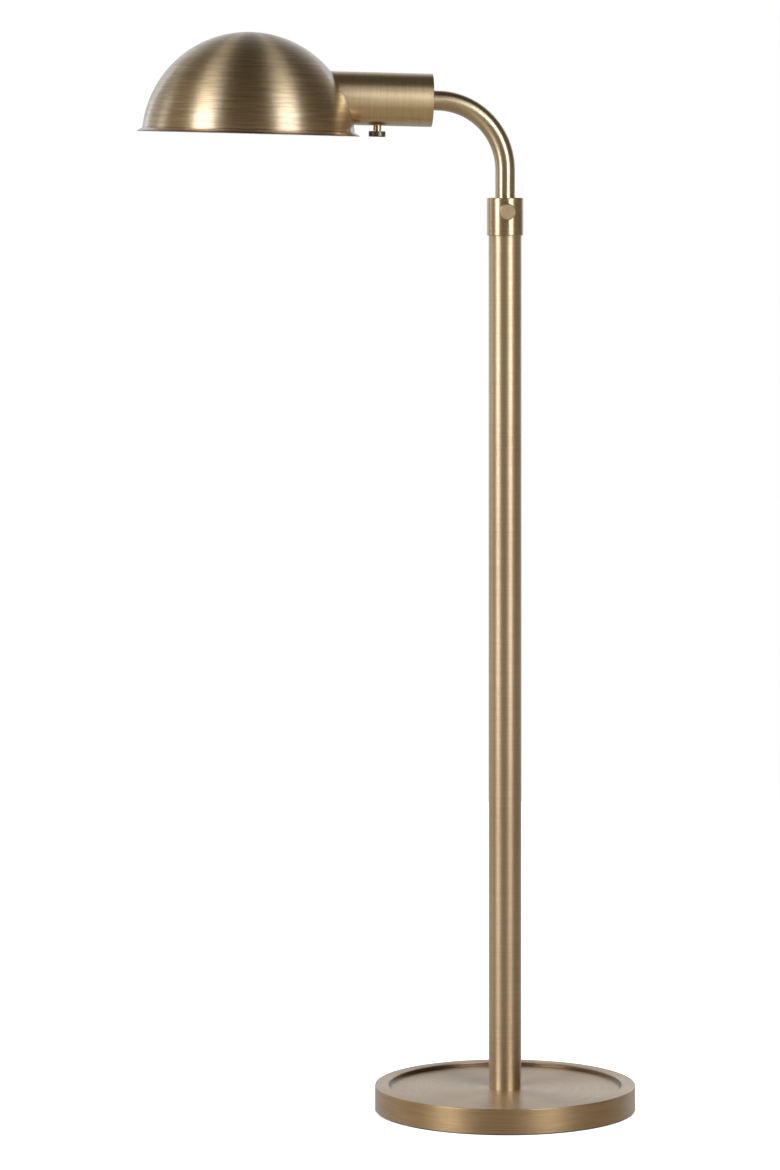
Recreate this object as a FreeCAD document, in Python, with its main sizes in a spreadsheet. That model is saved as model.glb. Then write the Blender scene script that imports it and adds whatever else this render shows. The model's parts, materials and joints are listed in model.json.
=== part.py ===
import FreeCAD, Part
import math
import os
import re
import Sketcher
from FreeCAD import Placement, Rotation, Vector

# Pharmacy floor lamp, in millimetres. +Z is up and the origin is the middle of the base on the floor.
# The arm leans towards -X, and the clamp knob faces -Y.

# Driving dimensions. Each one becomes a named cell of the sheet.
SIZES = {
    # round dished base: a spun shell over a cast weight
    "base_radius": 127.0,
    "base_top": 25.0,
    "base_wall": 1.2,
    "base_bevel": 0.9,
    "lip_width": 13.5,
    "recess_depth": 4.0,
    "lip_round": 1.2,
    "recess_fillet": 1.0,
    "felt_thick": 1.0,
    "felt_inset": 2.0,
    "weight_gap": 0.4,
    "weight_web": 4.5,
    "cavity_radius": 22.0,
    "channel_width": 12.0,
    "channel_rise": 14.0,
    # cord entry at the back of the base
    "entry_level": 9.5,
    "entry_radius": 5.0,
    "entry_bore": 3.2,
    "entry_flange_radius": 7.0,
    "entry_flange": 1.5,
    "entry_length": 12.0,
    # threaded tubes, nuts and washers
    "nipple_radius": 4.85,
    "nipple_bore": 3.5,
    "thread_gap": 0.05,
    "thread_end": 1.0,
    "washer_radius": 14.0,
    "washer_thick": 1.6,
    "nut_flats": 14.0,
    "nut_thick": 4.0,
    # leads
    "lead_radius": 2.4,
    "wire_radius": 1.2,
    "lead_level": 4.6,
    "lead_turn": 6.0,
    "lead_clear": 6.0,
    # stem and collar
    "stem_radius": 15.875,
    "stem_wall": 1.6,
    "stem_length": 830.0,
    "plug_length": 15.0,
    "collar_step": 1.625,
    "collar_height": 36.0,
    "collar_chamfer": 0.4,
    "collar_floor": 4.0,
    "collar_play": 0.7,
    "spigot_length": 16.0,
    "liner_wall": 1.6,
    "liner_inset": 1.0,
    # clamp screw
    "clamp_drop": 13.0,
    "screw_radius": 2.5,
    "screw_tip_gap": 0.1,
    "knob_standoff": 1.5,
    "knob_neck": 2.5,
    "knob_neck_radius": 4.0,
    "knob_radius": 7.7,
    "knob_length": 8.0,
    "knob_chamfer": 0.7,
    "knob_cover": 2.5,
    # sliding, bent arm
    "arm_radius": 9.525,
    "arm_wall": 1.2,
    "arm_showing": 27.0,
    "arm_travel_up": 205.0,
    "arm_travel_down": 25.0,
    "arm_tail": 5.4,
    "bend_radius": 66.0,
    "head_rise": 1.6,
    "slide_gap": 0.07,
    "stop_gap": 2.0,
    "ring_thick": 1.6,
    "ring_gap": 1.9,
    "ring_margin": 3.0,
    "end_play": 0.2,
    "bush_length": 20.0,
    # swivel between arm and head
    "insert_length": 5.0,
    "swivel_washer": 0.5,
    "swivel_washer_inset": 0.5,
    "face_gap": 0.05,
    "spring_washer": 0.8,
    # socket cap
    "cap_radius": 25.4,
    "cap_wall": 1.2,
    "cap_chamfer": 0.4,
    # dome shade, measured from the middle of its sphere
    "shade_radius": 101.8,
    "shade_wall": 1.0,
    "shade_reach": 175.0,
    "shade_drop": 41.4,
    "rim_rise": 5.0,
    "flare_height": 3.4,
    "flare_reach": 5.2,
    "lip_edge": 0.5,
    "socket_opening": 21.0,
    "solder_gap": 0.05,
    # lampholder; stations are measured from the cap's closed end
    "bracket_station": 64.0,
    "bracket_thick": 1.2,
    "bracket_hole": 9.0,
    "fixing_circle": 13.0,
    "fixing_radius": 1.5,
    "fixing_head": 2.8,
    "fixing_length": 8.0,
    "head_height": 2.0,
    "terminal_offset": 5.5,
    "terminal_head": 2.4,
    "terminal_length": 6.0,
    "socket_radius": 17.5,
    "socket_bore": 14.1,
    "socket_length": 45.8,
    "socket_floor": 11.0,
    "shell_wall": 0.6,
    "shell_length": 24.0,
    "shell_inset": 3.0,
    "contact_radius": 4.0,
    "contact_height": 3.8,
    # bulb
    "bulb_cap_radius": 13.0,
    "bulb_cap_length": 26.0,
    "bulb_tip_height": 4.0,
    "bulb_radius": 30.0,
    "bulb_length": 117.0,
    "bulb_neck_radius": 12.6,
    "bulb_neck": 12.0,
    "bulb_wall": 0.8,
    # rotary dimmer
    "switch_station": 51.9,
    "switch_inset": 2.9,
    "switch_radius": 10.5,
    "switch_depth": 14.0,
    "switch_bore_depth": 10.3,
    "shaft_radius": 2.0,
    "bushing_radius": 3.2,
    "switch_nut_radius": 3.85,
    "switch_nut_height": 5.0,
    "knob_gap": 0.2,
    "dimmer_radius": 8.1,
    "dimmer_height": 5.4,
    "dimmer_cover": 2.0,
    "dimmer_chamfer": 0.6,
}

# Heights, radii and places that follow from the driving dimensions.
DERIVED = {
    "recess_radius": "base_radius - lip_width",
    "recess_level": "base_top - recess_depth",
    "weight_top": "recess_level - base_wall",
    "weight_radius": "base_radius - base_wall - weight_gap",
    "web_bottom": "weight_top - weight_web",
    "nut_bottom": "web_bottom - washer_thick - nut_thick",
    "thread_hole": "nipple_radius + thread_gap",
    "entry_start": "base_radius - entry_length",
    "entry_face": "base_radius + entry_flange",
    "stem_bore": "stem_radius - stem_wall",
    "plug_top": "recess_level + plug_length",
    "collar_radius": "stem_radius + collar_step",
    "collar_bottom": "recess_level + stem_length",
    "collar_top": "collar_bottom + collar_height",
    "spigot_bottom": "collar_bottom - spigot_length",
    "liner_bottom": "collar_bottom + collar_floor",
    "liner_top": "collar_top - liner_inset",
    "liner_bore": "arm_radius + slide_gap",
    "liner_radius": "liner_bore + liner_wall",
    "clamp_level": "collar_top - clamp_drop",
    "neck_start": "collar_radius + knob_standoff",
    "knob_start": "neck_start + knob_neck",
    "knob_end": "knob_start + knob_length",
    "screw_end": "knob_end - knob_cover",
    "bend_start": "collar_top + arm_showing",
    "bend_turn": "(90 - head_rise) * 1 deg",
    "tail_end": "arm_tail + swivel_washer + 2 * face_gap",
    "head_x": "-bend_radius * (1 - cos(bend_turn)) - tail_end * sin(bend_turn)",
    "head_z": "bend_start + bend_radius * sin(bend_turn) + tail_end * cos(bend_turn)",
    "ring_radius": "stem_bore - ring_gap",
    "upper_ring_top": "spigot_bottom - arm_travel_up - stop_gap",
    "bush_top": "upper_ring_top - ring_thick - end_play",
    "bush_bottom": "bush_top - bush_length",
    "lower_ring_top": "bush_bottom - end_play",
    "arm_bottom": "lower_ring_top - ring_thick - ring_margin",
    "arm_bore": "arm_radius - arm_wall",
    "arm_end": "swivel_washer + 2 * face_gap",
    "swivel_washer_radius": "arm_radius - swivel_washer_inset",
    "cap_bore": "cap_radius - cap_wall",
    "lock_start": "cap_wall + face_gap + spring_washer",
    "lock_end": "lock_start + nut_thick",
    "nipple_end": "lock_end + thread_end",
    "flare_level": "rim_rise + flare_height",
    "flare_radius": "sqrt(shade_radius * shade_radius - flare_level * flare_level)",
    "inner_radius": "shade_radius - shade_wall",
    "inner_level": "flare_level - 0.6 * shade_wall",
    "inner_edge": "sqrt(inner_radius * inner_radius - inner_level * inner_level)",
    "lip_radius": "flare_radius + flare_reach",
    "socket_back": "bracket_station + bracket_thick",
    "socket_mouth": "socket_back + socket_length",
    "socket_seat": "socket_back + socket_floor",
    "shell_radius": "socket_bore - thread_gap",
    "shell_end": "socket_mouth - shell_inset",
    "contact_end": "socket_seat + contact_height",
    "bulb_start": "contact_end + face_gap",
    "bulb_thread": "bulb_start + bulb_tip_height",
    "glass_start": "bulb_start + bulb_cap_length",
    "bulb_end": "bulb_start + bulb_length",
    "bulb_middle": "bulb_end - bulb_radius",
    "flare_run": "bulb_middle - glass_start - bulb_neck",
    "bulb_flare": "(flare_run * flare_run - bulb_radius * bulb_radius"
                  " + bulb_neck_radius * bulb_neck_radius) / (2 * (bulb_radius - bulb_neck_radius))",
    "shoulder_back": "flare_run / (bulb_radius + bulb_flare)",
    "shoulder_out": "(bulb_neck_radius + bulb_flare) / (bulb_radius + bulb_flare)",
    "switch_bottom": "-(cap_bore - switch_inset)",
    "switch_top": "switch_bottom + switch_depth",
    "shaft_bore": "shaft_radius + 0.06",
    "switch_nut_top": "-(cap_radius + face_gap)",
    "switch_nut_bottom": "switch_nut_top - switch_nut_height",
    "dimmer_top": "switch_nut_bottom - knob_gap",
    "dimmer_bottom": "dimmer_top - dimmer_height",
    "shaft_end": "dimmer_bottom + dimmer_cover",
}

lamp = FreeCAD.newDocument("pharmacy_lamp")
sheet = lamp.addObject("Spreadsheet::Sheet", "sizes")
pieces = []

# A turned piece is drawn on one of its body's origin planes and spun about one of the sketch's axes.
ABOUT_Z = ("XZ_Plane", "V_Axis")
ABOUT_Y = ("XY_Plane", "V_Axis")
ABOUT_X = ("XZ_Plane", "H_Axis")
ALONG_X = Vector(1, 0, 0)
ALONG_Y = Vector(0, 1, 0)
ALONG_Z = Vector(0, 0, 1)


def fill_sheet():
    """Write each driving dimension into a cell with its own alias."""
    for row, (word, size) in enumerate(SIZES.items(), start=1):
        sheet.set(f"A{row}", word)
        sheet.set(f"B{row}", str(size))
        sheet.setAlias(f"B{row}", word)
    lamp.recompute()


def bound(rule):
    """Spell a rule out in the sheet's cells."""
    def spell(match):
        word = match.group()
        if word in DERIVED:
            return "(" + bound(DERIVED[word]) + ")"
        return "sizes." + word if word in SIZES else word
    return re.sub(r"[A-Za-z_]\w*", spell, str(rule))


def value(rule):
    """The present value of a rule."""
    result = sheet.evalExpression(bound(rule))
    return float(getattr(result, "Value", result))


def tie(item, setting, rule):
    """Bind one setting of an object to a rule."""
    item.setExpression(setting, bound(rule))


def tie_place(item, spot, prefix="Placement"):
    """Bind an object's position to three rules."""
    for letter, rule in zip("xyz", spot):
        tie(item, f"{prefix}.Base.{letter}", rule)


def put_on_head(item):
    """Place an object in the head's frame: X along the cap's axis, origin in its closed end."""
    item.Placement = Placement(Vector(), Rotation(ALONG_Y, value("head_rise")))
    tie_place(item, ("head_x", 0, "head_z"))
    tie(item, "Placement.Rotation.Angle", "head_rise")


def new_piece(label, on_head=False):
    """Start a sub-part."""
    body = lamp.addObject("PartDesign::Body", label)
    body.Label = label
    if on_head:
        put_on_head(body)
    pieces.append(body)
    return body


def arc_between(start, end, radius):
    """The short arc from start to end, counter-clockwise for a positive radius."""
    chord = end - start
    left = Vector(-chord.y, chord.x, 0).normalize()
    depth = abs(radius) - math.sqrt(radius ** 2 - (chord.Length / 2) ** 2)
    middle = (start + end) / 2 - left * math.copysign(depth, radius)
    if radius > 0:
        return Part.Arc(start, middle, end)
    return Part.Arc(end, middle, start)


def draw(body, name, plane, corners, spot=(0, 0, 0), closed=True):
    """Draw a sketch whose corners are rules: (across, up) or (across, up, radius of the next arc)."""
    sketch = body.newObject("Sketcher::SketchObject", name)
    support = [item for item in body.Origin.OriginFeatures if item.Role == plane][0]
    sketch.AttachmentSupport = (support, [""])
    sketch.MapMode = "FlatFace"
    tie_place(sketch, spot, "AttachmentOffset")
    points = [Vector(value(corner[0]), value(corner[1]), 0) for corner in corners]
    count = len(corners) if closed else len(corners) - 1
    ends = []
    for index in range(count):
        start, end = points[index], points[(index + 1) % len(points)]
        if len(corners[index]) == 3:
            radius = value(corners[index][2])
            sketch.addGeometry(arc_between(start, end, radius))
            size = sketch.addConstraint(Sketcher.Constraint("Radius", index, abs(radius)))
            tie(sketch, f"Constraints[{size}]", f"abs({corners[index][2]})")
            ends.append((1, 2) if radius > 0 else (2, 1))
        else:
            sketch.addGeometry(Part.LineSegment(start, end))
            ends.append((1, 2))
    for index in range(count if closed else count - 1):
        after = (index + 1) % count
        join = Sketcher.Constraint("Coincident", index, ends[index][1], after, ends[after][0])
        sketch.addConstraint(join)
    for index, corner in enumerate(corners):
        edge, side = (index, 0) if index < count else (index - 1, 1)
        for kind, rule, place in zip(("DistanceX", "DistanceY"), corner, points[index]):
            hold = Sketcher.Constraint(kind, -1, 1, edge, ends[edge][side], place)
            tie(sketch, f"Constraints[{sketch.addConstraint(hold)}]", rule)
    return sketch


def spin(body, name, axis, corners, spot=(0, 0, 0)):
    """Spin an outline about one of its sketch's axes."""
    plane, line = axis
    sketch = draw(body, name + "_outline", plane, corners, spot)
    turned = body.newObject("PartDesign::Revolution", name)
    turned.Profile = sketch
    turned.ReferenceAxis = (sketch, [line])
    turned.Angle = 360
    return turned


def rod(body, kind, name, start, direction, radius, length):
    """Add or cut a round rod: kind is Additive or Subtractive."""
    cylinder = body.newObject(f"PartDesign::{kind}Cylinder", name)
    cylinder.Placement = Placement(Vector(), Rotation(ALONG_Z, direction))
    tie(cylinder, "Radius", radius)
    tie(cylinder, "Height", length)
    tie_place(cylinder, start)
    return cylinder


def drill(body, name, start, direction, radius, length):
    """Cut a round hole."""
    return rod(body, "Subtractive", name, start, direction, radius, length)


def ring(inner, outer, low, high):
    """The outline of a plain ring, as (radius, station) corners."""
    return [(inner, low), (outer, low), (outer, high), (inner, high)]


def lying(corners):
    """Swap (radius, station) corners for a piece that lies along X, with stations towards -X."""
    return [(f"-({station})", radius) for radius, station in corners]


def plain_ring(label, inner, outer, low, high):
    """A ring that stands on the stem's axis."""
    body = new_piece(label)
    spin(body, "ring", ABOUT_Z, ring(inner, outer, low, high))
    return body


def head_ring(label, inner, outer, low, high):
    """A ring on the cap's axis, between two stations from the cap's closed end."""
    body = new_piece(label, on_head=True)
    spin(body, "ring", ABOUT_X, lying(ring(inner, outer, low, high)))
    return body


def hexagon_nut(label, plane, start, on_head=False):
    """A hexagon nut that grows from start along the plane's normal, with its threaded hole."""
    body = new_piece(label, on_head)
    corner = "nut_flats / sqrt(3)"
    turns = [60 * step for step in range(6)]
    corners = [(f"{corner} * cos({turn} deg)", f"{corner} * sin({turn} deg)") for turn in turns]
    blank = body.newObject("PartDesign::Pad", "blank")
    blank.Profile = draw(body, "hexagon", plane, corners, (0, 0, start))
    tie(blank, "Length", "nut_thick")
    spot, direction = ((start, 0, 0), ALONG_X) if plane == "YZ_Plane" else ((0, 0, start), ALONG_Z)
    drill(body, "thread", spot, direction, "thread_hole", "nut_thick")
    return body


def routed(points, bends, radius):
    """A round lead along straight runs that tangent arcs join."""
    edges = []
    start = points[0]
    for before, corner, after, bend in zip(points, points[1:], points[2:], bends):
        inward = (before - corner).normalize()
        outward = (after - corner).normalize()
        half = inward.getAngle(outward) / 2
        first = corner + inward * (bend / math.tan(half))
        last = corner + outward * (bend / math.tan(half))
        middle = corner + (inward + outward).normalize() * (bend / math.sin(half) - bend)
        edges.append(Part.LineSegment(start, first).toShape())
        edges.append(Part.Arc(first, middle, last).toShape())
        start = last
    edges.append(Part.LineSegment(start, points[-1]).toShape())
    section = Part.Circle(points[0], points[1] - points[0], radius).toShape()
    return Part.Wire(edges).makePipeShell([Part.Wire([section])], True, True)


def make_base():
    """The spun shell, the cast weight inside it, the felt and the parts that hold them."""
    shell = new_piece("base_shell")
    spin(shell, "pan", ABOUT_Z, [
        ("base_radius", "felt_thick"),
        ("base_radius", "base_top - base_bevel", "base_bevel"),
        ("base_radius - base_bevel", "base_top"),
        ("recess_radius + lip_round", "base_top", "lip_round"),
        ("recess_radius", "base_top - lip_round"),
        ("recess_radius", "recess_level + recess_fillet", "-recess_fillet"),
        ("recess_radius - recess_fillet", "recess_level"),
        ("thread_hole", "recess_level"),
        ("thread_hole", "weight_top"),
        ("recess_radius + base_wall", "weight_top"),
        ("recess_radius + base_wall", "base_top - base_wall"),
        ("base_radius - base_wall", "base_top - base_wall"),
        ("base_radius - base_wall", "felt_thick"),
    ])
    drill(shell, "entry", (0, "entry_start", "entry_level"), ALONG_Y, "entry_radius", "base_radius")

    weight = new_piece("base_weight")
    spin(weight, "casting", ABOUT_Z, [
        ("thread_hole", "web_bottom"),
        ("cavity_radius", "web_bottom"),
        ("cavity_radius", "felt_thick"),
        ("weight_radius", "felt_thick"),
        ("weight_radius", "weight_top"),
        ("thread_hole", "weight_top"),
    ])
    channel = weight.newObject("PartDesign::SubtractiveBox", "channel")
    tie(channel, "Length", "channel_width")
    tie(channel, "Width", "base_radius")
    tie(channel, "Height", "channel_rise")
    tie_place(channel, ("-channel_width / 2", 0, "felt_thick"))

    felt = new_piece("base_felt")
    rod(felt, "Additive", "pad", (0, 0, 0), ALONG_Z, "base_radius - felt_inset", "felt_thick")

    plain_ring("base_nipple", "nipple_bore", "nipple_radius", "nut_bottom - thread_end",
               "plug_top + 3 * thread_end")
    plain_ring("base_washer", "thread_hole", "washer_radius", "web_bottom - washer_thick", "web_bottom")
    hexagon_nut("base_locknut", "XY_Plane", "nut_bottom")


def make_cord_entry():
    """The bushing that lines the cord's hole, and the lead from it up the stem."""
    bushing = new_piece("cord_bushing")
    spin(bushing, "sleeve", ABOUT_Y, [
        ("entry_bore", "entry_start"),
        ("entry_radius - thread_gap", "entry_start"),
        ("entry_radius - thread_gap", "base_radius"),
        ("entry_flange_radius", "base_radius"),
        ("entry_flange_radius", "entry_face"),
        ("entry_bore", "entry_face"),
    ], (0, 0, "entry_level"))

    turn = value("lead_turn")
    path = [
        Vector(0, value("entry_start - lead_clear"), value("entry_level")),
        Vector(0, value("cavity_radius + lead_clear"), value("lead_level")),
        Vector(0, 0, value("lead_level")),
        Vector(0, 0, value("arm_bottom - arm_travel_down - lead_clear")),
    ]
    lead = lamp.addObject("Part::Feature", "stem_lead")
    lead.Label = "stem_lead"
    lead.Shape = routed(path, [10 * turn, turn], value("lead_radius"))
    lead.Placement = Placement()
    pieces.append(lead)


def make_stem():
    """The stem, the plug that the base's nipple screws into, and the collar with its liner."""
    plain_ring("stem_tube", "stem_bore", "stem_radius", "recess_level", "collar_bottom")
    plain_ring("stem_foot_plug", "thread_hole", "stem_bore - thread_gap", "recess_level", "plug_top")

    collar = new_piece("collar")
    spin(collar, "turning", ABOUT_Z, [
        ("arm_radius + collar_play", "spigot_bottom"),
        ("stem_bore - thread_gap", "spigot_bottom"),
        ("stem_bore - thread_gap", "collar_bottom"),
        ("collar_radius - collar_chamfer", "collar_bottom"),
        ("collar_radius", "collar_bottom + collar_chamfer"),
        ("collar_radius", "collar_top - collar_chamfer"),
        ("collar_radius - collar_chamfer", "collar_top"),
        ("liner_radius + thread_gap", "collar_top"),
        ("liner_radius + thread_gap", "liner_bottom"),
        ("arm_radius + collar_play", "liner_bottom"),
    ])
    drill(collar, "thread", (0, 0, "clamp_level"), -ALONG_Y, "screw_radius + thread_gap", "2 * collar_radius")

    liner = plain_ring("collar_liner", "liner_bore", "liner_radius", "liner_bottom", "liner_top")
    drill(liner, "window", (0, 0, "clamp_level"), -ALONG_Y, "screw_radius + 6 * thread_gap", "collar_radius")


def make_clamp():
    """The clamp screw, whose rounded tip bears on the arm, and its round knob."""
    screw = new_piece("clamp_screw")
    spin(screw, "shank", ABOUT_Y, [
        (0, "-(arm_radius + screw_tip_gap)"),
        ("0.6 * screw_radius", "-(arm_radius + screw_tip_gap)"),
        ("screw_radius", "-(arm_radius + screw_tip_gap + 0.4 * screw_radius)"),
        ("screw_radius", "-screw_end"),
        (0, "-screw_end"),
    ], (0, 0, "clamp_level"))

    knob = new_piece("clamp_knob")
    spin(knob, "head", ABOUT_Y, [
        ("screw_radius + thread_gap", "-neck_start"),
        ("knob_neck_radius", "-neck_start"),
        ("knob_neck_radius", "-knob_start"),
        ("knob_radius - knob_chamfer", "-knob_start"),
        ("knob_radius", "-(knob_start + knob_chamfer)"),
        ("knob_radius", "-(knob_end - knob_chamfer)"),
        ("knob_radius - knob_chamfer", "-knob_end"),
        (0, "-knob_end"),
        (0, "-(screw_end + end_play)"),
        ("screw_radius + thread_gap", "-(screw_end + end_play)"),
    ], (0, 0, "clamp_level"))


def make_arm():
    """The bent tube, its guide and stops inside the stem, and the swivel at its tip."""
    plain_ring("guide_bush", "liner_bore", "stem_bore - slide_gap", "bush_bottom", "bush_top")

    tube = new_piece("arm_tube")
    path = draw(tube, "path", "XZ_Plane", [
        (0, "arm_bottom"),
        (0, "bend_start", "bend_radius"),
        ("-bend_radius * (1 - cos(bend_turn))", "bend_start + bend_radius * sin(bend_turn)"),
        ("head_x + arm_end * sin(bend_turn)", "head_z - arm_end * cos(bend_turn)"),
    ], closed=False)
    for kind, radius in (("Additive", "arm_radius"), ("Subtractive", "arm_bore")):
        section = tube.newObject("Sketcher::SketchObject", kind.lower() + "_section")
        section.AttachmentSupport = (tube.Origin.OriginFeatures[3], [""])
        section.MapMode = "FlatFace"
        tie(section, "AttachmentOffset.Base.z", "arm_bottom")
        section.addGeometry(Part.Circle(Vector(), ALONG_Z, value(radius)))
        section.addConstraint(Sketcher.Constraint("Coincident", 0, 3, -1, 1))
        size = section.addConstraint(Sketcher.Constraint("Radius", 0, value(radius)))
        tie(section, f"Constraints[{size}]", radius)
        pipe = tube.newObject(f"PartDesign::{kind}Pipe", kind.lower() + "_pipe")
        pipe.Profile = section
        pipe.Spine = (path, [""])

    rings = new_piece("arm_stop_rings")
    for name, top in (("upper", "upper_ring_top"), ("lower", "lower_ring_top")):
        spin(rings, name, ABOUT_Z,
             ring("arm_radius + thread_gap", "ring_radius", f"{top} - ring_thick", top))

    head_ring("arm_tip_insert", "thread_hole", "arm_bore - thread_gap", "-(arm_end + insert_length)",
              "-arm_end")
    head_ring("swivel_nipple", "nipple_bore", "nipple_radius", "-(arm_end + insert_length)", "nipple_end")
    head_ring("swivel_washer", "thread_hole", "swivel_washer_radius", "-(face_gap + swivel_washer)",
              "-face_gap")
    head_ring("swivel_spring_washer", "thread_hole", "swivel_washer_radius", "cap_wall + face_gap",
              "lock_start")
    hexagon_nut("swivel_locknut", "YZ_Plane", "-lock_end", on_head=True)

    turn = value("bend_turn / 1 deg")
    elbow = value("bend_start") + value("bend_radius") * math.tan(math.radians(turn / 2))
    tip = Vector(value("head_x"), 0, value("head_z"))
    inward = Vector(-math.sin(math.radians(turn)), 0, math.cos(math.radians(turn)))
    path = [
        Vector(0, 0, value("arm_bottom + thread_end")),
        Vector(0, 0, elbow),
        tip + inward * value("nipple_end + 2 * thread_end"),
    ]
    lead = lamp.addObject("Part::Feature", "arm_lead")
    lead.Label = "arm_lead"
    lead.Shape = routed(path, [value("bend_radius")], value("lead_radius"))
    lead.Placement = Placement()
    pieces.append(lead)


def make_shade():
    """The dome with its flared lip, and the cap that is soldered to its side."""
    shade = new_piece("shade", on_head=True)
    spin(shade, "dome", ABOUT_Z, [
        (0, "shade_radius", "-shade_radius"),
        ("flare_radius", "flare_level"),
        ("lip_radius - lip_edge", "rim_rise + 2 * lip_edge"),
        ("lip_radius", "rim_rise + lip_edge"),
        ("lip_radius - lip_edge", "rim_rise"),
        ("lip_radius - 2 * lip_edge", "rim_rise"),
        ("inner_edge", "inner_level", "inner_radius"),
        (0, "inner_radius"),
    ], ("-shade_reach", "-shade_drop", 0))
    drill(shade, "socket_opening", ("-shade_reach", 0, 0), ALONG_X, "socket_opening", "shade_reach")

    cap = new_piece("socket_cap", on_head=True)
    spin(cap, "cup", ABOUT_X, lying([
        ("nipple_radius + slide_gap", 0),
        ("cap_radius - cap_chamfer", 0),
        ("cap_radius", "cap_chamfer"),
        ("cap_radius", "shade_reach"),
        ("cap_bore", "shade_reach"),
        ("cap_bore", "cap_wall"),
        ("nipple_radius + slide_gap", "cap_wall"),
    ]))
    saddle = cap.newObject("PartDesign::SubtractiveSphere", "saddle")
    tie(saddle, "Radius", "shade_radius + solder_gap")
    tie_place(saddle, ("-shade_reach", 0, "-shade_drop"))
    drill(cap, "switch_hole", ("-switch_station", 0, "-cap_radius - 1"), ALONG_Z,
          "bushing_radius + 2 * thread_gap", "cap_radius / 2")


def make_lampholder():
    """The bracket disc pressed into the cap, and the lampholder that it carries."""
    bracket = head_ring("socket_bracket", "bracket_hole", "cap_bore - thread_gap", "bracket_station",
                        "socket_back")
    screws = new_piece("socket_screws", on_head=True)
    holder = new_piece("socket_body", on_head=True)
    spin(holder, "moulding", ABOUT_X, lying([
        (0, "socket_back"),
        ("socket_radius", "socket_back"),
        ("socket_radius", "socket_mouth"),
        ("socket_bore", "socket_mouth"),
        ("socket_bore", "socket_seat"),
        (0, "socket_seat"),
    ]))
    terminals = new_piece("terminal_screws", on_head=True)
    for side in (1, -1):
        fixing = ("-bracket_station", f"{side} * fixing_circle", 0)
        terminal = ("-socket_back", f"{side} * terminal_offset", 0)
        hole = "fixing_radius + thread_gap"
        drill(bracket, "fixing_hole", fixing, -ALONG_X, hole, "bracket_thick")
        drill(holder, "fixing_hole", fixing, -ALONG_X, hole, "fixing_length + bracket_thick")
        drill(holder, "terminal_pocket", terminal, -ALONG_X, "terminal_head + thread_gap", "head_height")
        drill(holder, "terminal_hole", terminal, -ALONG_X, hole, "head_height + terminal_length")
        rod(screws, "Additive", "head", fixing, ALONG_X, "fixing_head", "head_height")
        rod(screws, "Additive", "shank", fixing, -ALONG_X, "fixing_radius", "fixing_length")
        rod(terminals, "Additive", "head", terminal, -ALONG_X, "terminal_head", "head_height")
        rod(terminals, "Additive", "shank", terminal, -ALONG_X, "fixing_radius", "terminal_length")

    head_ring("socket_screw_shell", "shell_radius - shell_wall", "shell_radius",
              "shell_end - shell_length", "shell_end")
    contact = new_piece("socket_contact", on_head=True)
    spin(contact, "spring", ABOUT_X, lying([
        (0, "socket_seat"),
        ("contact_radius", "socket_seat"),
        ("contact_radius", "socket_seat + contact_height / 2"),
        ("contact_radius / 2", "contact_end"),
        (0, "contact_end"),
    ]))


def make_bulb():
    """The bulb: its screw cap and its glass, open at the neck."""
    cap = new_piece("bulb_screw_cap", on_head=True)
    spin(cap, "cap", ABOUT_X, lying([
        (0, "bulb_start"),
        ("contact_radius", "bulb_start"),
        ("bulb_cap_radius", "bulb_thread"),
        ("bulb_cap_radius", "glass_start"),
        (0, "glass_start"),
    ]))

    glass = new_piece("bulb_glass", on_head=True)
    inner = "(bulb_radius - bulb_wall)"
    spin(glass, "envelope", ABOUT_X, [
        ("-glass_start", "bulb_neck_radius"),
        ("-(glass_start + bulb_neck)", "bulb_neck_radius", "-bulb_flare"),
        ("-bulb_middle + bulb_radius * shoulder_back", "bulb_radius * shoulder_out", "bulb_radius"),
        ("-bulb_middle", "bulb_radius", "bulb_radius"),
        ("-bulb_end", 0),
        ("-(bulb_end - bulb_wall)", 0, f"-{inner}"),
        ("-bulb_middle", inner, f"-{inner}"),
        (f"-bulb_middle + {inner} * shoulder_back", f"{inner} * shoulder_out",
         "bulb_flare + bulb_wall"),
        ("-(glass_start + bulb_neck)", "bulb_neck_radius - bulb_wall"),
        ("-glass_start", "bulb_neck_radius - bulb_wall"),
    ])


def make_dimmer():
    """The rotary dimmer inside the cap, its bushing and nut, and the knob on its shaft."""
    spot = ("-switch_station", 0, 0)
    body = new_piece("switch_body", on_head=True)
    spin(body, "housing", ABOUT_Z, [
        ("shaft_bore", "switch_bottom"),
        ("switch_radius", "switch_bottom"),
        ("switch_radius", "switch_top"),
        (0, "switch_top"),
        (0, "switch_bottom + switch_bore_depth"),
        ("shaft_bore", "switch_bottom + switch_bore_depth"),
    ], spot)
    bushing = new_piece("switch_bushing", on_head=True)
    spin(bushing, "sleeve", ABOUT_Z,
         ring("shaft_bore", "bushing_radius", "switch_nut_bottom", "switch_bottom"), spot)
    nut = new_piece("switch_nut", on_head=True)
    spin(nut, "sleeve", ABOUT_Z,
         ring("bushing_radius + thread_gap", "switch_nut_radius", "switch_nut_bottom", "switch_nut_top"),
         spot)
    shaft = new_piece("switch_shaft", on_head=True)
    rod(shaft, "Additive", "shaft", ("-switch_station", 0, "shaft_end"), ALONG_Z, "shaft_radius",
        "switch_bottom + switch_bore_depth - end_play - shaft_end")
    knob = new_piece("switch_knob", on_head=True)
    spin(knob, "head", ABOUT_Z, [
        ("shaft_bore", "dimmer_top"),
        ("dimmer_radius", "dimmer_top"),
        ("dimmer_radius", "dimmer_bottom + dimmer_chamfer"),
        ("dimmer_radius - dimmer_chamfer", "dimmer_bottom"),
        (0, "dimmer_bottom"),
        (0, "shaft_end - thread_gap"),
        ("shaft_bore", "shaft_end - thread_gap"),
    ], spot)


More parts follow.
